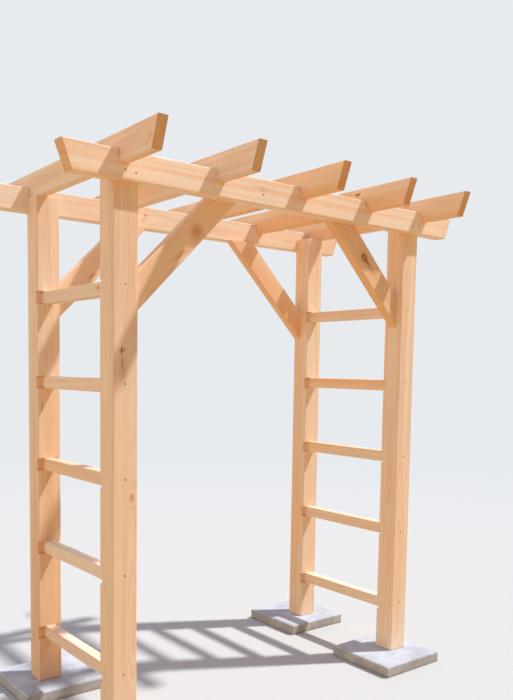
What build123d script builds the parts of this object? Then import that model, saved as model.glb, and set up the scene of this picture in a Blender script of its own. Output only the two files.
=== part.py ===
from build123d import *
from math import cos, radians, tan
import os

# Wooden garden arch: two ladder sides, notched beams and rafters, standing on four pavers.
# Millimetres, +X along the beams, +Y through the arch, +Z up, ground at Z = 0.

# Posts, square in section, spacing measured centre to centre
post_size = 100
post_spacing_x = 1520
post_spacing_y = 656
post_foot_chamfer = 3

# Concrete pavers under the posts, each laid a little off its post's centre
paver_width = 360
paver_thickness = 50
paver_edge_chamfer = 5
paver_shift = {
    "front_left": (10, -10),
    "front_right": (-45, -10),
    "back_left": (25, 15),
    "back_right": (-15, 30),
}

# Beams along X, let into the outer faces of the posts, the front one deeper than the back one
beam_bottom = 2060
beam_height = 100
beam_thickness = 60
front_beam_let_in = 28
back_beam_let_in = 12
beam_overhang = 204

# Rafters along Y, cross-lapped over the beams, with both ends as far out as the overhang past
# the front beam takes them. The insets run from the beam ends to the outer rafters, and the
# drift is how far each rafter lies off an even spacing between those two.
rafter_height = 103
rafter_thickness = 40
rafter_overlap = 44
rafter_overhang = 248
left_rafter_inset = 232
right_rafter_inset = 206
rafter_drift = (0, 13.5, 38, 30.5, 0)

# Rungs of the ladder sides, housed across the facing sides of the posts. The drop runs from the
# beams down to the last rung, and the drift is how far each rung lies off an even spacing.
rung_height = 52
rung_width = 45
first_rung_top = 291
last_rung_drop = 335
rung_drift = (0, 14.5, 15, 5.5, 0)
housing_depth = 15

# Knee braces between the posts and the beams. The front ones lie against the inner face of
# their beam, and the back ones are flush with the posts' outer faces and stop under their beam.
# Each drop runs from the beams down to the foot of one brace on its post.
brace_width = 100
brace_thickness = 45
brace_angle = 45
brace_drop = {
    "front_left": 456,
    "front_right": 438,
    "back_left": 459,
    "back_right": 478,
}

# Finish of the timber. Each notch in a beam is wider than its rafter by the lap clearance on
# both sides, and the other joints are tight.
end_cut_angle = 21
arris_radius = 4
lap_clearance = 1.5
joint_clearance = 0.3

# Levels and faces that follow from the sizes above
post_x = post_spacing_x / 2
post_y = post_spacing_y / 2
post_outer_y = post_y + post_size / 2
post_inner_y = post_y - post_size / 2
beam_top = beam_bottom + beam_height
beam_let_in = {"front": front_beam_let_in, "back": back_beam_let_in}
beam_inner_y = {row: post_outer_y - depth for row, depth in beam_let_in.items()}
beam_middle_y = {row: inner_y + beam_thickness / 2 for row, inner_y in beam_inner_y.items()}
rafter_bottom = beam_top - rafter_overlap
rafter_top = rafter_bottom + rafter_height
lap_level = beam_top - rafter_overlap / 2
beam_end_x = post_x + post_size / 2 + beam_overhang
rafter_end_y = beam_inner_y["front"] + beam_thickness + rafter_overhang
brace_foot = {corner: beam_bottom - drop for corner, drop in brace_drop.items()}
brace_top = {"front": rafter_bottom, "back": beam_bottom}
brace_outer_y = {"front": beam_inner_y["front"], "back": post_outer_y}
end_cut_slope = tan(radians(end_cut_angle))

rafter_pitch = (2 * beam_end_x - left_rafter_inset - right_rafter_inset) / (len(rafter_drift) - 1)
rafter_positions = [
    left_rafter_inset - beam_end_x + rafter_pitch * step + drift
    for step, drift in enumerate(rafter_drift)
]
rung_pitch = (beam_bottom - last_rung_drop - first_rung_top) / (len(rung_drift) - 1)
rung_tops = [first_rung_top + rung_pitch * step + drift for step, drift in enumerate(rung_drift)]

rows = {"front": -1, "back": 1}
columns = {"left": -1, "right": 1}


def save(piece, name):
    piece.part.label = name
    export_step(piece.part, f"parts/{name}.step")


def make_paver(name, side_x, side_y):
    shift_x, shift_y = paver_shift[name]
    with BuildPart() as paver:
        with BuildSketch(Plane.XY):
            with Locations((side_x * post_x + shift_x, side_y * post_y + shift_y)):
                Rectangle(paver_width, paver_width)
        extrude(amount=paver_thickness)
        chamfer(paver.faces().sort_by(Axis.Z)[-1].edges(), paver_edge_chamfer)
    save(paver, f"{name}_paver")


def make_post(name, side_x, side_y, let_in):
    with BuildPart() as post:
        with BuildSketch(Plane.XY.offset(paver_thickness)):
            with Locations((side_x * post_x, side_y * post_y)):
                RectangleRounded(post_size, post_size, arris_radius)
        extrude(amount=rafter_bottom - paver_thickness)
        chamfer(post.faces().sort_by(Axis.Z)[0].edges(), post_foot_chamfer)

        # Shoulder in the outer face that carries the beam
        with BuildSketch(Plane.XY.offset(beam_bottom)):
            with Locations((side_x * post_x, side_y * (post_outer_y - let_in / 2))):
                Rectangle(post_size, let_in)
        extrude(amount=rafter_bottom - beam_bottom, mode=Mode.SUBTRACT)

        # Housings for the rungs, cut right across the inner face
        for rung_top in rung_tops:
            with BuildSketch(Plane.XY.offset(rung_top - rung_height - joint_clearance)):
                with Locations((side_x * post_x, side_y * (post_inner_y + housing_depth / 2))):
                    Rectangle(post_size, housing_depth)
            extrude(amount=rung_height + 2 * joint_clearance, mode=Mode.SUBTRACT)
    save(post, f"{name}_post")


def make_beam(name, middle_y):
    with BuildPart() as beam:
        with BuildSketch(Plane.XZ.offset(-middle_y)):
            with BuildLine():
                foot_x = beam_end_x - beam_height * end_cut_slope
                Polyline(
                    (-foot_x, beam_bottom),
                    (foot_x, beam_bottom),
                    (beam_end_x, beam_top),
                    (-beam_end_x, beam_top),
                    close=True,
                )
            make_face()
        extrude(amount=beam_thickness / 2, both=True)
        fillet(beam.edges().filter_by(Axis.X), arris_radius)

        # Upper halves of the cross laps, one under each rafter
        with BuildSketch(Plane.XY.offset(lap_level)):
            with Locations(*[(x, middle_y) for x in rafter_positions]):
                Rectangle(rafter_thickness + 2 * lap_clearance, beam_thickness)
        extrude(amount=beam_top - lap_level, mode=Mode.SUBTRACT)
    save(beam, name)


def make_rafter(name, position_x):
    with BuildPart() as rafter:
        with BuildSketch(Plane.YZ.offset(position_x)):
            with BuildLine():
                foot_y = rafter_end_y - rafter_height * end_cut_slope
                Polyline(
                    (-foot_y, rafter_bottom),
                    (foot_y, rafter_bottom),
                    (rafter_end_y, rafter_top),
                    (-rafter_end_y, rafter_top),
                    close=True,
                )
            make_face()
        extrude(amount=rafter_thickness / 2, both=True)
        fillet(rafter.edges().filter_by(Axis.Y), arris_radius)

        # Lower halves of the cross laps, one over each beam
        with BuildSketch(Plane.XY.offset(rafter_bottom)):
            with Locations(*[(position_x, rows[row] * beam_middle_y[row]) for row in rows]):
                Rectangle(rafter_thickness, beam_thickness + 2 * joint_clearance)
        extrude(amount=lap_level - rafter_bottom, mode=Mode.SUBTRACT)
    save(rafter, name)


def make_rung(name, side_x, rung_top):
    rung_length = 2 * (post_inner_y + housing_depth)
    with BuildPart() as rung:
        with BuildSketch(Plane.XZ):
            with Locations((side_x * post_x, rung_top - rung_height / 2)):
                RectangleRounded(rung_width, rung_height, arris_radius)
        extrude(amount=rung_length / 2, both=True)
    save(rung, name)


def make_brace(name, side_x, middle_y, top):
    face_x = post_x - post_size / 2
    foot = brace_foot[name]
    shoulder = foot + brace_width / cos(radians(brace_angle))
    run = 1 / tan(radians(brace_angle))
    with BuildPart() as brace:
        with BuildSketch(Plane.XZ.offset(-middle_y)):
            with BuildLine():
                Polyline(
                    (side_x * face_x, foot),
                    (side_x * face_x, shoulder),
                    (side_x * (face_x - (top - shoulder) * run), top),
                    (side_x * (face_x - (top - foot) * run), top),
                    close=True,
                )
            make_face()
        extrude(amount=brace_thickness / 2, both=True)
        long_edges = brace.edges().filter_by(Axis((0, 0, 0), (-side_x * run, 0, 1)))
        fillet(long_edges, arris_radius)
    save(brace, f"{name}_brace")


os.makedirs("parts", exist_ok=True)

for row, side_y in rows.items():
    make_beam(f"{row}_beam", side_y * beam_middle_y[row])
    brace_middle_y = side_y * (brace_outer_y[row] - brace_thickness / 2)
    for column, side_x in columns.items():
        corner = f"{row}_{column}"
        make_paver(corner, side_x, side_y)
        make_post(corner, side_x, side_y, beam_let_in[row])
        make_brace(corner, side_x, brace_middle_y, brace_top[row])

for number, position in enumerate(rafter_positions, start=1):
    make_rafter(f"rafter_{number}", position)

for number, level in enumerate(rung_tops, start=1):
    for column, side_x in columns.items():
        make_rung(f"{column}_rung_{number}", side_x, level)
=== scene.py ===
from collections import namedtuple
import math
import random

import bmesh
import bpy
from mathutils import Matrix, Vector


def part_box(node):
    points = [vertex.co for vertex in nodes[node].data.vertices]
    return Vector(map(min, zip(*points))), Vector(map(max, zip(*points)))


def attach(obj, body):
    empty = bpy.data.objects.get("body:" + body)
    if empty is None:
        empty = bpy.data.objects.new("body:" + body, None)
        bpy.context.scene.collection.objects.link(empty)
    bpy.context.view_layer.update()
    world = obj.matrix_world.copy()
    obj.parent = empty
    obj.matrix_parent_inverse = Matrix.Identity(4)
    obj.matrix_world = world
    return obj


# Wooden garden arch of fresh planed softwood on four concrete pavers. Metres, +X along the
# beams, +Y through the arch, +Z up, ground at Z = 0.
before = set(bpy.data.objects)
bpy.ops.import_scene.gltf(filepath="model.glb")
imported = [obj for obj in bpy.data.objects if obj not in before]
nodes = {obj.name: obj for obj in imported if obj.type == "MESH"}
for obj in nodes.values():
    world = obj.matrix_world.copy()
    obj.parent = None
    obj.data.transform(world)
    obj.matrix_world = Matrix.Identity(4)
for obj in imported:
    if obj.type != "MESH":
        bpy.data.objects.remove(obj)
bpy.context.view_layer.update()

# Camera: place, bearing from +Y towards +X, tilt and roll in degrees, lens in millimetres
camera_place = Vector((-2.120, -2.818, 1.413))
camera_bearing = 38.5
camera_tilt = -4.76
camera_roll = 0.89
camera_lens = 39.6
camera_shift = (0.0065, 0.1194)

# Light: a key light, wide fill lights from three sides, and an even light all round that is warm
# near the horizon and cool overhead. A light has the way towards it and its width in degrees.
Light = namedtuple("Light", "name towards width strength colour")
lights = [
    Light("key", (0.55, -0.31, 1.0), 2, 3.6, (0.98, 1, 1)),
    Light("left_fill", (-1, 0.12, 0.2), 70, 0.95, (1, 0.94, 0.84)),
    Light("back_fill", (0.5, 1, 0.25), 70, 0.6, (1, 0.96, 0.90)),
    Light("front_fill", (0.2, -1, 0.3), 70, 0.15, (1, 0.76, 0.52)),
]
ambient_strength = 0.38
horizon_colour = (1, 0.76, 0.46, 1)
zenith_colour = (0.52, 0.84, 1.80, 1)
zenith_fade = (0.45, 0.95)

# Floor: it is seen in one colour, throws light back in a warmer one, and fades into the background
background_colour = (0.80, 0.83, 0.86, 1)
floor_colour = (0.61, 0.60, 0.575, 1)
floor_bounce = (0.49, 0.34, 0.17, 1)
floor_radius = 30
floor_sides = 96
floor_fade = (2.5, 9.0)
floor_roughness = 0.9
floor_shine = 0.1

# Colours of the timber, the concrete and the screws
sap_wood = (0.96, 0.76, 0.58, 1)
cream_wood = (0.97, 0.82, 0.66, 1)
heart_wood = (0.95, 0.57, 0.30, 1)
pink_wood = (0.93, 0.61, 0.42, 1)
late_wood = (0.72, 0.34, 0.13, 1)
stained_wood = (0.66, 0.26, 0.10, 1)
knot_wood = (0.36, 0.13, 0.035, 1)
knot_rim = (0.10, 0.03, 0.01, 1)
cut_end_tint = (0.86, 0.72, 0.56, 1)
# Painted shadow: the dark ring round the screw heads is countersink shade as well as bruised fibres
crushed_wood_shadow = (0.42, 0.22, 0.10, 1)
screw_bronze = (0.46, 0.31, 0.19, 1)
pale_concrete = (0.64, 0.66, 0.71, 1)
grey_concrete = (0.46, 0.48, 0.53, 1)
sand_grey = (0.36, 0.37, 0.41, 1)
soil_brown = (0.22, 0.16, 0.09, 1)

# Tone and warmth of each timber: paler under a warmth of 0, more orange above 0.5. The slope is
# how much the warmth changes with each metre up a post. Chance multiplies each timber's tone and
# warmth by a factor within the spreads.
timber_looks = {
    "front_beam": (1.04, -0.45),
    "back_beam": (1.04, -0.45),
    "rafter_1": (1.02, 0.5),
    "rafter_2": (1.02, 0.9),
    "rafter_3": (1.02, 1.6),
    "rafter_4": (1.02, 0.9),
    "rafter_5": (1.04, 0.9),
    "left_rung_1": (1.02, 0.0),
    "left_rung_2": (1.04, -0.3),
    "left_rung_3": (1.0, 1.2),
    "left_rung_4": (1.02, -0.6),
    "left_rung_5": (1.0, -0.1),
    "right_rung_1": (1.03, -0.3),
    "right_rung_2": (1.03, -0.1),
    "right_rung_3": (1.02, 1.4),
    "right_rung_4": (1.02, 0.8),
    "right_rung_5": (1.04, 0.4),
    "front_left_post": (1.02, 0.8),
    "front_right_post": (1.04, 0.1),
    "back_left_post": (1.0, 1.1),
    "back_right_post": (1.02, 0.4),
    "front_left_brace": (1.01, 0.9),
    "front_right_brace": (0.98, 1.7),
    "back_left_brace": (1.0, 0.9),
    "back_right_brace": (1.0, 0.9),
}
warmth_slopes = {"back_left_post": -1.4}
tone_spread = (0.96, 1.02)
warmth_spread = (0.6, 1.4)

# How far the pith may lie from the middle of a post and of a board, and how far from its zero
# the noise is read
post_pith = (0.010, 0.035)
board_pith = (0.030, 0.075)
noise_reach = 50

# Patterns of the timber. Waves are counted per metre, along and across it. A fade runs from its
# first value to its second, and gives what stands third and fourth, or else 0 to 1.
noise_mean = 0.5
across_only = (0, 1, 1)

# Growth rings: the bends of the stem, the ripple and crowding of the rings, and where in each
# ring its dark late wood begins and ends
ring_spacing = 0.0052
stem_waves = (0.9, 0.9)
stem_bend = 0.05
ripple_waves = (2.6, 16.0)
ripple_height = 0.010
crowding_waves = 55.0
crowding = 2.5
late_begins = (0.25, 0.9)
late_ends = (0.93, 1.0, 1.0, 0.0)

# Warm heartwood within a distance of the pith, and cream and pink bands that follow the rings
heart_fade = (0.040, 0.058, 1.0, 0.3)
band_waves = (0.7, 75.0)
cream_bands = (0.34, 0.46, 0.7, 0.0)
cream_if_warm = (0.0, 1.2, 1.0, 0.2)
cream_if_pale = (-1.0, 0.0, 1.0, 0.0)
pink_bands = (0.48, 0.68, 0.0, 0.75)
drift_waves = (1.1, 2.0)
warmth_drift = (0.35, 0.65, -0.35, 0.35)

# Streaks, fibres and clouds: what each adds to the colour, the shade and the rings
streak_waves = (1.3, 75.0)
streak_heart = (0.5, 0.8, 0.0, 0.3)
streak_shade = (0.3, 0.7, 0.97, 1.02)
fibre_waves = (14.0, 900.0)
fibre_shade = (0.25, 0.75, -0.03, 0.03)
cloud_waves = (1.5, 6.0)
cloud_shade = (0.3, 0.7, 0.96, 1.03)
cloud_rings = (0.35, 0.65, 0.08, 0.26)

# Cut ends, by how squarely the surface faces along the timber
end_fade = (0.5, 0.8)
end_rings = 0.3
end_roughness = 0.2

# Relief and gloss of the planed timber
wood_roughness = 0.62
late_polish = -0.08
late_height = 0.4
fibre_height = 0.6
wood_relief = 0.0004
relief_strength = 0.5
wood_shine = 0.35

# Knots: how far they reach into the timber, how they lift the rings round them, by a share of
# their radius, and their colours by nearness, which is 0 where the reddish stain ends, 1 at the
# rim and 2 in the middle of a live knot
knot_reach = (0.028, 0.038, 1.0, 0.0)
swell_height = 1.8
swell_power = 1.6
swell_decay = -0.32
middle_nearness = 2.0
stain_fray = (0.0, 1.0, 0.0, 0.35)
stain_fade = (0.05, 1.0, 0.0, 0.85)
knot_edge = (1.0, 1.12)
knot_ring_waves = 26.0
knot_ring_fade = (-1.0, 1.0, 0.0, 0.3)
live_heart = (1.15, 1.6, 0.1, 0.75)
dead_heart = (2.0, 2.4)
rim_begins = (0.93, 1.03)
rim_ends = (1.12, 1.3, 1.0, 0.0)
rim_strength = 0.7

# Concrete: waves per metre in X, Y and Z, and the fades of each pattern
blotch_waves = (9, 9, 9)
blotch_fade = (0.35, 0.65)
sand_waves = (420, 420, 420)
sand_fade = (0.3, 0.7, 0.0, 0.3)
pit_waves = 75.0
pit_fade = (0.05, 0.16, 1.0, 0.0)
pit_darkness = 0.5
side_fade = (0.3, 0.6)
side_coarseness = 0.6
run_waves = (34, 34, 14)
soil_runs = (0.5, 0.75, 0.08, 0.5)
damp_climb = 0.03
damp_fade = (0.012, 0.030, 0.7, 0.0)
concrete_relief = 0.0012
concrete_relief_strength = 0.6
concrete_roughness = 0.88

# Screws: the head, its six-lobed recess and a dark ring round it, of fibres bruised by it and of
# painted shadow in the countersink
head_radius = 0.0040
head_rise = 0.0005
head_sink = 0.0012
recess_radius = 0.0017
recess_lobe = 0.0004
recess_lobes = 6
recess_floor = -0.0009
bruise_shadow_radius = 0.0048
bruise_shadow_rise = 0.0001
screw_sides = 36
metal_slot, bruise_shadow_slot = 0, 1

# Outlines of the head and of its dark ring of bruised fibres and painted shadow: radius, depth of
# the lobes and height
head_outline = [
    (head_radius, 0, -head_sink),
    (head_radius, 0, 0.3 * head_rise),
    (0.93 * head_radius, 0, 0.8 * head_rise),
    (0.70 * head_radius, 0, head_rise),
    (recess_radius, recess_lobe, head_rise),
    (0.9 * recess_radius, recess_lobe, recess_floor),
]
bruise_shadow_outline = [
    (head_radius, 0, -bruise_shadow_rise),
    (bruise_shadow_radius, 0, -bruise_shadow_rise),
    (0.96 * bruise_shadow_radius, 0, bruise_shadow_rise),
    (head_radius, 0, 0.5 * bruise_shadow_rise),
]

# Wear of the screws' coating, and the dark ring round the heads: bruised fibres with painted
# countersink shadow
wear_waves = (600, 600, 600)
wear_fade = (0.5, 0.7)
worn_brightness = 1.5
metal_roughness = (0.3, 0.7, 0.32, 0.5)
crushed_shadow_waves = (900, 900, 900)
crushed_shadow_fade = (0.3, 0.7, 0.0, 0.5)
crushed_roughness = 0.85

# Screws through the outer faces of the posts, one into each rung: how far each lies off the
# post's middle and off the rung's middle
rung_screws = {
    "front_left": ((-0.006, 0.021), (-0.001, 0.017), (0, 0.012), (-0.001, 0.009), (0, 0.008)),
    "front_right": ((0, 0.020), (-0.005, 0), (-0.001, 0.007), (-0.007, 0.015), (-0.002, 0.014)),
    "back_left": ((0.004, 0.012), (-0.003, 0.006), (0.002, 0.015), (0.001, 0.004), (-0.004, 0.010)),
    "back_right": ((-0.002, 0.005), (0.005, 0.013), (-0.004, 0.009), (0.003, 0.016), (0.001, 0.002)),
}

# Two screws through each beam into each post: off the post's middle and above the beam's underside
beam_screws = {
    "left": ((-0.018, 0.034), (0.023, 0.028)),
    "right": ((-0.024, 0.030), (0.019, 0.035)),
}

# Screws in the back face of each brace: two at the foot, slanted into the post, and two at the
# head, straight into the front beam or slanted up into the back one
brace_width = 0.100
foot_levels = (0.048, 0.104)
foot_inset = 0.022
head_spread = 0.020
head_drop = 0.030
brace_screw_slant = 0.5

# One screw slanted down through each rafter into each beam, from the right-hand side
rafter_screw_rise = 0.014
rafter_screw_stray = 0.010
rafter_screw_slant = 0.5

# Corners with their side in X, rows, the numbers of the rafters and rungs, and the way that each
# side of a piece faces
corners = {"front_left": -1, "front_right": 1, "back_left": -1, "back_right": 1}
rows = ("front", "back")
numbers = range(1, 6)
sides = {"front": (0, -1, 0), "back": (0, 1, 0), "left": (-1, 0, 0), "right": (1, 0, 0)}
x_axis, y_axis, z_axis = (1, 0, 0), (0, 1, 0), (0, 0, 1)

# Knots: the side each comes out of, how far it lies along that side and up it from the low corner
# of the timber's box, its radius, how far it is drawn out, how deep its colour is and how far it
# leans from the timber's length in degrees. Under 0.5 the depth is that of a reddish stain, at 1
# that of a live knot with a paler heart, and at 1.5 that of a dead one, dark all through.
Knot = namedtuple("Knot", "side across up radius stretch depth lean", defaults=(1.0, 1.0, 0))
knots = {
    "front_right_brace": [
        Knot("front", 0.264, 0.304, 0.013, 1.4),
        Knot("front", 0.284, 0.284, 0.004, 3.0, 1.5),
        Knot("front", 0.309, 0.259, 0.012, 4.0, 0.35),
    ],
    "front_left_brace": [
        Knot("front", 0.269, 0.326, 0.026, 1.2, 0.42, 20),
        Knot("front", 0.257, 0.338, 0.006, 3.0, 0.46, 24),
        Knot("front", 0.283, 0.327, 0.007, 3.5, 0.46, 18),
        Knot("front", 0.201, 0.235, 0.009, 6.0, 0.35, -9),
    ],
    "back_left_brace": [
        Knot("front", 0.175, 0.216, 0.005, 4.0, 0.48, 4),
        Knot("front", 0.206, 0.198, 0.003, 1.5, 1.5),
    ],
    "back_right_brace": [Knot("back", 0.183, 0.333, 0.009, 1.4)],
    "front_beam": [
        Knot("front", 0.842, 0.055, 0.010, 1.5, 0.3),
        Knot("front", 0.848, 0.039, 0.002, 2.0, 1.5),
        Knot("back", 1.366, 0.052, 0.008, 1.6),
    ],
    "back_beam": [
        Knot("front", 0.773, 0.062, 0.002, 2.0, 1.5),
        Knot("front", 0.764, 0.041, 0.006, 3.0, 0.3, 45),
        Knot("back", 0.606, 0.041, 0.009, 1.5),
        Knot("back", 1.277, 0.066, 0.005, 1.5, 1.2),
    ],
    "front_left_post": [
        Knot("front", 0.035, 1.424, 0.004, 2.4, 0.9, -10),
        Knot("front", 0.045, 1.425, 0.0025, 2.5, 0.7),
        Knot("front", 0.036, 1.380, 0.0035, 6.0, 0.6),
        Knot("front", 0.040, 1.355, 0.015, 4.0, 0.3),
        Knot("front", 0.077, 0.890, 0.008, 1.6, 0.5),
        Knot("right", 0.060, 0.535, 0.007, 1.5),
    ],
    "front_right_post": [
        Knot("right", 0.033, 0.762, 0.008, 1.6),
        Knot("right", 0.067, 1.522, 0.004, 2.0, 1.3),
    ],
    "back_left_post": [
        Knot("front", 0.018, 1.191, 0.004, 5.0, 0.45),
        Knot("back", 0.069, 1.044, 0.008, 1.5),
    ],
    "back_right_post": [
        Knot("back", 0.073, 0.654, 0.007, 1.6),
        Knot("right", 0.063, 1.430, 0.006, 1.5),
    ],
    "rafter_1": [
        Knot("left", 0.047, 0.044, 0.004, 3.0, 0.45, 75),
        Knot("left", 0.068, 0.024, 0.003, 3.0, 0.45, 60),
        Knot("right", 0.762, 0.055, 0.007, 1.8),
    ],
    "rafter_3": [Knot("right", 0.830, 0.042, 0.006, 1.8)],
    "rafter_4": [Knot("left", 0.303, 0.079, 0.005, 2.2)],
    "rafter_5": [
        Knot("left", 0.332, 0.084, 0.004, 4.0, 0.45),
        Knot("right", 0.872, 0.050, 0.008, 1.7),
    ],
    "left_rung_5": [Knot("left", 0.082, 0.032, 0.004, 1.5, 1.2)],
    "right_rung_2": [Knot("right", 0.379, 0.030, 0.005, 1.7)],
}


def centre(name):
    low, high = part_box(name)
    return (low + high) / 2


def point_on_side(name, side, across, up):
    """The point so far along one side of a piece's box and up it, counted from its low corner."""
    low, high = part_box(name)
    x = {"left": low.x, "right": high.x}.get(side, low.x + across)
    y = {"front": low.y, "back": high.y}.get(side, low.y + across)
    return Vector((x, y, low.z + up))


class Shader:
    """Adds nodes to one node tree. Each call gives back the new node's output."""

    def __init__(self, tree):
        self.tree = tree

    def link(self, output, socket):
        self.tree.links.new(output, socket)

    def add(self, kind, inputs, output=0, **settings):
        node = self.tree.nodes.new(kind)
        for name, value in settings.items():
            setattr(node, name, value)
        for key, value in inputs.items():
            if isinstance(value, bpy.types.NodeSocket):
                self.link(value, node.inputs[key])
            else:
                node.inputs[key].default_value = value
        return node.outputs[output]

    def math(self, operation, *values):
        return self.add("ShaderNodeMath", dict(enumerate(values)), operation=operation)

    def plus(self, a, b):
        return self.math("ADD", a, b)

    def times(self, a, b):
        return self.math("MULTIPLY", a, b)

    def vector(self, operation, *values):
        return self.add("ShaderNodeVectorMath", dict(enumerate(values)), operation=operation)

    def dot(self, a, b):
        return self.add("ShaderNodeVectorMath", {0: a, 1: b}, 1, operation="DOT_PRODUCT")

    def length(self, a):
        return self.add("ShaderNodeVectorMath", {0: a}, 1, operation="LENGTH")

    def combine(self, *parts):
        return self.add("ShaderNodeCombineXYZ", dict(enumerate(parts)))

    def noise(self, place, detail=2.0, roughness=0.5, output=0):
        inputs = {"Vector": place, "Scale": 1.0, "Detail": detail, "Roughness": roughness}
        return self.add("ShaderNodeTexNoise", inputs, output)

    def smooth(self, value, low, high, to_low=0.0, to_high=1.0):
        inputs = {0: value, 1: low, 2: high, 3: to_low, 4: to_high}
        return self.add("ShaderNodeMapRange", inputs, interpolation_type="SMOOTHSTEP")

    def mix(self, factor, a, b, blend="MIX"):
        inputs = {0: factor, 6: a, 7: b}
        return self.add("ShaderNodeMix", inputs, 2, data_type="RGBA", blend_type=blend)


def new_material(name):
    material = bpy.data.materials.new(name)
    material.use_nodes = True
    tree = material.node_tree
    return material, Shader(tree), tree.nodes["Principled BSDF"]


def new_group(name, inputs, outputs):
    """A node group whose sockets are given by their names and kinds."""
    group = bpy.data.node_groups.new(name, "ShaderNodeTree")
    for direction, sockets in (("INPUT", inputs), ("OUTPUT", outputs)):
        for label, kind in sockets.items():
            group.interface.new_socket(label, in_out=direction, socket_type="NodeSocket" + kind)
    source = group.nodes.new("NodeGroupInput").outputs
    result = group.nodes.new("NodeGroupOutput").inputs
    return group, Shader(group), source, result


def make_knot_group():
    """A branch that comes out of a side: how it lifts the rings, and how near its middle is."""
    inputs = {
        "Place": "Vector", "Middle": "Vector", "Out": "Vector", "Along": "Vector",
        "Radius": "Float", "Stretch": "Float", "Depth": "Float",
        "Lift": "Float", "Nearness": "Float",
    }
    outputs = {"Lift": "Float", "Nearness": "Float"}
    group, shader, source, result = new_group("knot", inputs, outputs)
    offset = shader.vector("SUBTRACT", source["Place"], source["Middle"])
    below = shader.dot(offset, source["Out"])
    along = shader.dot(offset, source["Along"])
    crosswise = shader.vector("CROSS_PRODUCT", source["Out"], source["Along"])
    sideways = shader.dot(offset, crosswise)
    flat = shader.combine(shader.math("DIVIDE", along, source["Stretch"]), sideways)
    reach = shader.math("DIVIDE", shader.length(flat), source["Radius"])
    inside = shader.smooth(shader.math("ABSOLUTE", below), *knot_reach)

    slope = shader.times(shader.math("POWER", reach, swell_power), swell_decay)
    bell = shader.math("EXPONENT", slope)
    height = shader.math("DIVIDE", shader.times(source["Radius"], swell_height), source["Stretch"])
    swell = shader.times(shader.times(bell, inside), height)
    shader.link(shader.plus(source["Lift"], swell), result["Lift"])

    depth = shader.times(inside, source["Depth"])
    near = shader.times(shader.math("SUBTRACT", middle_nearness, reach), depth)
    shader.link(shader.math("MAXIMUM", source["Nearness"], near), result["Nearness"])
    return group


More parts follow.
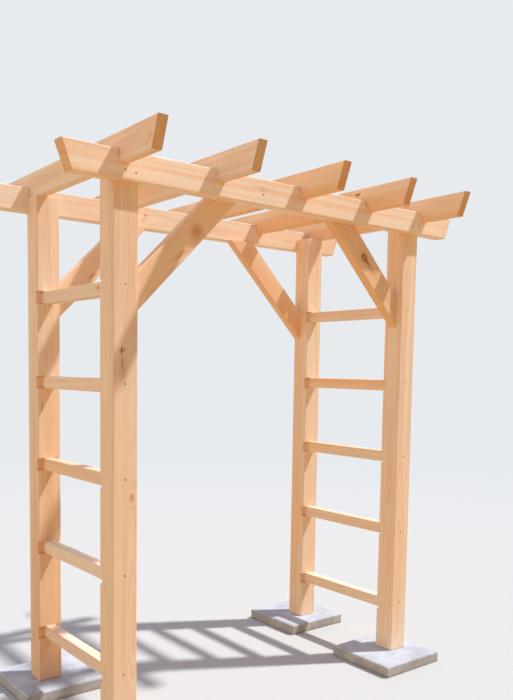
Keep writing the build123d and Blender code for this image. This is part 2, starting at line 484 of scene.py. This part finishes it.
def make_timber_group():
    """Softwood cut from a log: growth rings round a pith, fibres along it, and knots."""
    inputs = {
        "Place": "Vector", "Pith": "Vector", "Seed": "Vector",
        "Facing": "Float", "Tone": "Float", "Warmth": "Float", "Slope": "Float",
        "Lift": "Float", "Nearness": "Float",
    }
    outputs = {"Color": "Color", "Roughness": "Float", "Height": "Float"}
    group, shader, source, result = new_group("softwood", inputs, outputs)
    place = source["Place"]

    def stretched(along, across):
        drawn = shader.vector("MULTIPLY", place, (along, across, across))
        return shader.vector("ADD", drawn, source["Seed"])

    # Distance from the pith, with the stem's slow bends and the lift of the knots
    bend = shader.noise(stretched(*stem_waves), detail=1.0, output="Color")
    bend = shader.vector("SUBTRACT", bend, (noise_mean, noise_mean, noise_mean))
    bend = shader.vector("MULTIPLY", bend, (0, stem_bend, stem_bend))
    from_pith = shader.vector("ADD", shader.vector("SUBTRACT", place, source["Pith"]), bend)
    from_pith = shader.vector("MULTIPLY", from_pith, across_only)
    ripple = shader.noise(stretched(*ripple_waves))
    radius = shader.plus(shader.length(from_pith), source["Lift"])
    radius = shader.plus(radius, shader.times(ripple, ripple_height))

    # The dark late wood of each ring
    wide = shader.noise(shader.combine(shader.times(radius, crowding_waves)), detail=1.0)
    rings = shader.plus(shader.math("DIVIDE", radius, ring_spacing), shader.times(wide, crowding))
    phase = shader.math("FRACT", rings)
    late = shader.times(shader.smooth(phase, *late_begins), shader.smooth(phase, *late_ends))

    # Warm heartwood near the pith, broad soft bands that follow the rings, and fine fibres, with
    # the warmth drifting slowly along the timber
    along_timber = shader.dot(place, x_axis)
    length_waves, ring_waves = band_waves
    zone_place = shader.combine(
        shader.times(radius, ring_waves), shader.times(along_timber, length_waves))
    zone = shader.noise(shader.vector("ADD", zone_place, source["Seed"]))
    streak = shader.noise(stretched(*streak_waves), detail=3.0, roughness=0.6)
    fibre = shader.noise(stretched(*fibre_waves), roughness=0.6)
    cloud = shader.noise(stretched(*cloud_waves))
    drift = shader.noise(stretched(*drift_waves), detail=1.0)
    drift = shader.smooth(drift, *warmth_drift)
    drift = shader.plus(drift, shader.times(source["Slope"], along_timber))
    warmth = shader.plus(source["Warmth"], drift)
    heart = shader.smooth(radius, *heart_fade)
    heart = shader.times(heart, shader.math("MAXIMUM", warmth, 0.0))
    cream = shader.smooth(zone, *cream_bands)
    cream = shader.times(cream, shader.smooth(warmth, *cream_if_warm))
    cream = shader.plus(cream, shader.smooth(warmth, *cream_if_pale))

    # Cut ends show their growth rings plainly, and are browner because they drink in the light
    end = shader.smooth(source["Facing"], *end_fade)
    ring_strength = shader.smooth(cloud, *cloud_rings)
    ring_strength = shader.plus(ring_strength, shader.times(end, end_rings))

    colour = shader.mix(heart, sap_wood, heart_wood)
    colour = shader.mix(cream, colour, cream_wood)
    colour = shader.mix(shader.smooth(zone, *pink_bands), colour, pink_wood)
    colour = shader.mix(shader.times(late, ring_strength), colour, late_wood)
    colour = shader.mix(shader.smooth(streak, *streak_heart), colour, heart_wood)
    colour = shader.mix(end, colour, shader.mix(1.0, colour, cut_end_tint, "MULTIPLY"))
    shade = shader.plus(shader.smooth(streak, *streak_shade), shader.smooth(fibre, *fibre_shade))
    shade = shader.times(shade, shader.smooth(cloud, *cloud_shade))
    shade = shader.times(shade, source["Tone"])
    colour = shader.mix(1.0, colour, shader.combine(shade, shade, shade), "MULTIPLY")

    # Knots, each in a stain with a frayed edge and with a thin dark rim
    fray = shader.smooth(source["Nearness"], *stain_fray)
    wander = shader.times(shader.math("SUBTRACT", streak, noise_mean), fray)
    near = shader.plus(source["Nearness"], wander)
    colour = shader.mix(shader.smooth(near, *stain_fade), colour, stained_wood)
    knot_rings = shader.math("SINE", shader.times(near, knot_ring_waves))
    core = shader.mix(shader.smooth(near, *live_heart), knot_wood, late_wood)
    core = shader.mix(shader.smooth(knot_rings, *knot_ring_fade), core, knot_wood)
    core = shader.mix(shader.smooth(near, *dead_heart), core, knot_rim)
    colour = shader.mix(shader.smooth(near, *knot_edge), colour, core)
    rim = shader.times(shader.smooth(near, *rim_begins), shader.smooth(near, *rim_ends))
    colour = shader.mix(shader.times(rim, rim_strength), colour, knot_rim)
    shader.link(colour, result["Color"])

    rough = shader.plus(shader.times(late, late_polish), shader.times(end, end_roughness))
    shader.link(shader.plus(rough, wood_roughness), result["Roughness"])
    height = shader.plus(shader.times(late, late_height), shader.times(fibre, fibre_height))
    shader.link(height, result["Height"])
    return group


def make_timber(name, along, across, pith_reach):
    """The material of one timber, with its pith where the random numbers of its name put it."""
    chance = random.Random(name)
    tone, warmth = timber_looks[name]
    middle = centre(name)
    along = Vector(along).normalized()
    across = Vector(across)
    third = along.cross(across)

    def local(vector):
        return Vector((vector.dot(along), vector.dot(across), vector.dot(third)))

    material, shader, surface = new_material(name + "_wood")
    coordinates = shader.add("ShaderNodeTexCoord", {}).node.outputs
    offset = shader.vector("SUBTRACT", coordinates["Object"], middle)
    place = shader.combine(*[shader.dot(offset, axis) for axis in (along, across, third)])
    facing = shader.math("ABSOLUTE", shader.dot(coordinates["Normal"], along))

    lift = nearness = 0.0
    for mark in knots.get(name, ()):
        out = local(Vector(sides[mark.side]))
        point = point_on_side(name, mark.side, mark.across, mark.up)
        lean = Matrix.Rotation(math.radians(mark.lean), 3, out)
        inputs = {
            "Place": place,
            "Middle": local(point - middle),
            "Out": out,
            "Along": lean @ Vector(x_axis),
            "Radius": mark.radius,
            "Stretch": mark.stretch,
            "Depth": mark.depth,
            "Lift": lift,
            "Nearness": nearness,
        }
        knot = shader.add("ShaderNodeGroup", inputs, node_tree=knot_group).node.outputs
        lift, nearness = knot["Lift"], knot["Nearness"]

    angle = chance.uniform(0, 2 * math.pi)
    distance = chance.uniform(*pith_reach)
    seed = [chance.uniform(-noise_reach, noise_reach) for _ in range(3)]
    inputs = {
        "Place": place,
        "Pith": (0, distance * math.cos(angle), distance * math.sin(angle)),
        "Seed": seed,
        "Facing": facing,
        "Tone": tone * chance.uniform(*tone_spread),
        "Warmth": warmth * chance.uniform(*warmth_spread),
        "Slope": warmth_slopes.get(name, 0),
        "Lift": lift,
        "Nearness": nearness,
    }
    wood = shader.add("ShaderNodeGroup", inputs, node_tree=timber_group).node.outputs
    relief = {"Height": wood["Height"], "Strength": relief_strength, "Distance": wood_relief}
    shader.link(wood["Color"], surface.inputs["Base Color"])
    shader.link(wood["Roughness"], surface.inputs["Roughness"])
    shader.link(shader.add("ShaderNodeBump", relief), surface.inputs["Normal"])
    surface.inputs["Specular IOR Level"].default_value = wood_shine
    return material


def make_concrete():
    """Cast concrete: pale and blotched on top, coarser on the sides, with soil at the foot."""
    material, shader, surface = new_material("concrete")
    coordinates = shader.add("ShaderNodeTexCoord", {}).node.outputs
    place = coordinates["Object"]
    topside = shader.smooth(shader.dot(coordinates["Normal"], z_axis), *side_fade)
    upright = shader.math("SUBTRACT", 1.0, topside)
    blotch = shader.vector("MULTIPLY", place, blotch_waves)
    blotch = shader.noise(blotch, detail=4.0, roughness=0.6)
    run = shader.vector("MULTIPLY", place, run_waves)
    run = shader.noise(run, detail=4.0, roughness=0.7)
    sand = shader.vector("MULTIPLY", place, sand_waves)
    sand = shader.noise(sand, detail=3.0, roughness=0.7)
    pits = shader.add("ShaderNodeTexVoronoi", {"Vector": place, "Scale": pit_waves})
    hole = shader.smooth(pits, *pit_fade)

    colour = shader.mix(shader.smooth(blotch, *blotch_fade), grey_concrete, pale_concrete)
    colour = shader.mix(shader.smooth(sand, *sand_fade), colour, sand_grey)
    colour = shader.mix(shader.times(hole, pit_darkness), colour, sand_grey)
    soiled = shader.times(upright, shader.smooth(run, *soil_runs))
    colour = shader.mix(soiled, colour, soil_brown)
    level = shader.plus(shader.dot(place, z_axis), shader.times(run, damp_climb))
    damp = shader.times(upright, shader.smooth(level, *damp_fade))
    colour = shader.mix(damp, colour, soil_brown)
    shader.link(colour, surface.inputs["Base Color"])

    height = shader.times(sand, shader.plus(upright, side_coarseness))
    relief = {
        "Height": shader.math("SUBTRACT", height, hole),
        "Strength": concrete_relief_strength,
        "Distance": concrete_relief,
    }
    shader.link(shader.add("ShaderNodeBump", relief), surface.inputs["Normal"])
    surface.inputs["Roughness"].default_value = concrete_roughness
    return material


def make_screw_metal():
    """Bronze-coloured coating, a little uneven, over steel."""
    material, shader, surface = new_material("screw_metal")
    place = shader.add("ShaderNodeTexCoord", {}, "Object")
    wear = shader.vector("MULTIPLY", place, wear_waves)
    wear = shader.noise(wear, detail=3.0, roughness=0.6)
    worn = {0: screw_bronze[:3], 3: worn_brightness}
    worn = shader.add("ShaderNodeVectorMath", worn, operation="SCALE")
    colour = shader.mix(shader.smooth(wear, *wear_fade), screw_bronze, worn)
    shader.link(colour, surface.inputs["Base Color"])
    shader.link(shader.smooth(wear, *metal_roughness), surface.inputs["Roughness"])
    surface.inputs["Metallic"].default_value = 1.0
    return material


def make_crushed_wood_shadow():
    """The dark ring round a screw head: bruised fibres and painted shadow of the countersink."""
    material, shader, surface = new_material("crushed_wood_shadow")
    place = shader.add("ShaderNodeTexCoord", {}, "Object")
    fibre = shader.noise(shader.vector("MULTIPLY", place, crushed_shadow_waves), roughness=0.6)
    colour = shader.mix(shader.smooth(fibre, *crushed_shadow_fade), crushed_wood_shadow, stained_wood)
    shader.link(colour, surface.inputs["Base Color"])
    surface.inputs["Roughness"].default_value = crushed_roughness
    return material


def dress(name, material):
    mesh = nodes[name].data
    mesh.materials.clear()
    mesh.materials.append(material)


# Materials of the pavers and of each timber, which runs along its own axis
knot_group = make_knot_group()
timber_group = make_timber_group()
concrete = make_concrete()
for corner, side in corners.items():
    post, brace = corner + "_post", corner + "_brace"
    dress(corner + "_paver", concrete)
    dress(post, make_timber(post, z_axis, x_axis, post_pith))
    dress(brace, make_timber(brace, (-side, 0, 1), y_axis, board_pith))
for row in rows:
    beam = row + "_beam"
    dress(beam, make_timber(beam, x_axis, y_axis, board_pith))
for number in numbers:
    for name in ("rafter_%d" % number, "left_rung_%d" % number, "right_rung_%d" % number):
        dress(name, make_timber(name, y_axis, x_axis, board_pith))


def lathe(mesh, place, outline, slot, closed=False):
    """Turns an outline round a screw's axis into a solid, closed with two caps or on itself."""
    rings = []
    for radius, lobe, height in outline:
        ring = []
        for step in range(screw_sides):
            angle = 2 * math.pi * step / screw_sides
            reach = radius + lobe * math.cos(recess_lobes * angle)
            point = Vector((reach * math.cos(angle), reach * math.sin(angle), height))
            ring.append(mesh.verts.new(place @ point))
        rings.append(ring)
    pairs = list(zip(rings, rings[1:]))
    if closed:
        pairs.append((rings[-1], rings[0]))
    faces = []
    for lower, upper in pairs:
        for step in range(screw_sides):
            after = (step + 1) % screw_sides
            patch = (lower[step], lower[after], upper[after], upper[step])
            faces.append(mesh.faces.new(patch))
    if not closed:
        faces.append(mesh.faces.new(reversed(rings[0])))
        faces.append(mesh.faces.new(rings[-1]))
    for face in faces:
        face.material_index = slot


def aimed(point, way):
    """The frame at a point whose Z axis goes the given way."""
    turn = Vector(way).to_track_quat("Z", "Y")
    return Matrix.Translation(point) @ turn.to_matrix().to_4x4()


def add_screw(mesh, chance, spot):
    """One head in its ring of bruised fibres and painted shadow, tipped where the screw goes in at a
    slant.
    """
    square = aimed(spot.point, spot.out)
    place = aimed(spot.point, Vector(spot.out) + Vector(spot.tip))
    place = place @ Matrix.Rotation(chance.uniform(0, math.pi), 4, "Z")
    lathe(mesh, place, head_outline, metal_slot)
    # A thin sheet of painted countersink shadow and bruised fibres round the head
    lathe(mesh, square, bruise_shadow_outline, bruise_shadow_slot, closed=True)


def make_screws(host, spots):
    """The screws of one timber as one piece."""
    chance = random.Random(host)
    mesh = bmesh.new()
    for spot in spots:
        add_screw(mesh, chance, spot)
    data = bpy.data.meshes.new(host + "_screws")
    mesh.to_mesh(data)
    mesh.free()
    data.materials.append(screw_metal)
    data.materials.append(bruise_and_shadow)
    piece = bpy.data.objects.new(host + "_screws", data)
    bpy.context.scene.collection.objects.link(piece)
    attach(piece, "root")


def outer_level(name, row):
    """The level in Y of the side of a piece that faces out of its row."""
    low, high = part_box(name)
    return low.y if row == "front" else high.y


# Screws of the posts: the place of each head, the way it faces and how it is tipped
Spot = namedtuple("Spot", "point out tip", defaults=((0, 0, 0),))
screw_metal = make_screw_metal()
# The ring's material: bruised fibres darkened as painted countersink shadow
bruise_and_shadow = make_crushed_wood_shadow()
for corner, offsets in rung_screws.items():
    row, column = corner.split("_")
    post = corner + "_post"
    spots = []
    for number, (across, up) in enumerate(offsets, start=1):
        level = centre("%s_rung_%d" % (column, number)).z + up
        point = (centre(post).x + across, outer_level(post, row), level)
        spots.append(Spot(point, sides[row]))
    make_screws(post, spots)

# Screws of the beams
for row in rows:
    beam = row + "_beam"
    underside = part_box(beam)[0].z
    spots = []
    for column, offsets in beam_screws.items():
        post = "%s_%s_post" % (row, column)
        for across, up in offsets:
            point = (centre(post).x + across, outer_level(beam, row), underside + up)
            spots.append(Spot(point, sides[row]))
    make_screws(beam, spots)

# Screws of the braces
brace_rise = brace_width * math.sqrt(2)
for corner, side in corners.items():
    brace = corner + "_brace"
    low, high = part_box(brace)
    post_face = max(abs(low.x), abs(high.x))
    spots = []
    for level in foot_levels:
        point = (side * (post_face - foot_inset), high.y, low.z + level)
        spots.append(Spot(point, sides["back"], (-side * brace_screw_slant, 0, 0)))
    head_level = high.z - head_drop
    head_middle = post_face - (head_level - low.z - brace_rise / 2)
    head_tip = (0, 0, 0) if corner.startswith("front") else (0, 0, -brace_screw_slant)
    for spread in (-head_spread, head_spread):
        point = (side * (head_middle + spread), high.y, head_level)
        spots.append(Spot(point, sides["back"], head_tip))
    make_screws(brace, spots)

# Screws of the rafters
for number in numbers:
    rafter = "rafter_%d" % number
    chance = random.Random(rafter)
    right_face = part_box(rafter)[1].x
    spots = []
    for row in rows:
        beam = row + "_beam"
        stray = chance.uniform(-rafter_screw_stray, rafter_screw_stray)
        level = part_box(beam)[1].z + rafter_screw_rise
        point = (right_face, centre(beam).y + stray, level)
        spots.append(Spot(point, sides["right"], (0, 0, rafter_screw_slant)))
    make_screws(rafter, spots)


def seen_rays(shader):
    """1 for rays that show the background to the camera or in a reflection, and 0 for others."""
    paths = shader.add("ShaderNodeLightPath", {}).node.outputs
    return shader.math("MAXIMUM", paths["Is Camera Ray"], paths["Is Glossy Ray"])


def make_floor():
    bpy.ops.mesh.primitive_circle_add(
        vertices=floor_sides, radius=floor_radius, fill_type="NGON")
    floor = bpy.context.object
    floor.name = "floor"
    material, shader, surface = new_material("floor")
    surface.inputs["Roughness"].default_value = floor_roughness
    surface.inputs["Specular IOR Level"].default_value = floor_shine
    distance = shader.length(shader.add("ShaderNodeTexCoord", {}, "Object"))
    seen = seen_rays(shader)
    colour = shader.mix(seen, floor_bounce, floor_colour)
    shader.link(colour, surface.inputs["Base Color"])
    fade = shader.times(shader.smooth(distance, *floor_fade), seen)
    glow = shader.add("ShaderNodeEmission", {"Color": background_colour, "Strength": 1.0})
    mixed = shader.add("ShaderNodeMixShader", {0: fade, 1: surface.outputs[0], 2: glow})
    output = material.node_tree.nodes["Material Output"]
    shader.link(mixed, output.inputs["Surface"])
    floor.data.materials.append(material)


def make_world():
    world = bpy.data.worlds.new("studio")
    bpy.context.scene.world = world
    world.use_nodes = True
    shader = Shader(world.node_tree)
    world.node_tree.nodes.clear()
    height = shader.dot(shader.add("ShaderNodeTexCoord", {}), z_axis)
    sky = shader.mix(shader.smooth(height, *zenith_fade), horizon_colour, zenith_colour)
    light = shader.add("ShaderNodeBackground", {"Color": sky, "Strength": ambient_strength})
    wall = shader.add("ShaderNodeBackground", {"Color": background_colour, "Strength": 1.0})
    mixed = shader.add("ShaderNodeMixShader", {0: seen_rays(shader), 1: light, 2: wall})
    output = world.node_tree.nodes.new("ShaderNodeOutputWorld")
    shader.link(mixed, output.inputs["Surface"])


def make_light(light):
    data = bpy.data.lights.new(light.name, "SUN")
    data.energy = light.strength
    data.angle = math.radians(light.width)
    data.color = light.colour
    lamp = bpy.data.objects.new(light.name, data)
    lamp.rotation_euler = Vector(light.towards).to_track_quat("Z", "Y").to_euler()
    bpy.context.scene.collection.objects.link(lamp)


def make_camera():
    data = bpy.data.cameras.new("camera")
    data.lens = camera_lens
    data.shift_x, data.shift_y = camera_shift
    camera = bpy.data.objects.new("camera", data)
    turn = Matrix.Rotation(math.radians(-camera_bearing), 4, "Z")
    turn = turn @ Matrix.Rotation(math.radians(90 + camera_tilt), 4, "X")
    turn = turn @ Matrix.Rotation(math.radians(camera_roll), 4, "Z")
    camera.matrix_world = Matrix.Translation(camera_place) @ turn
    bpy.context.scene.collection.objects.link(camera)
    bpy.context.scene.camera = camera


make_floor()
make_world()
for light in lights:
    make_light(light)
make_camera()
bpy.context.scene.view_settings.view_transform = "Standard"
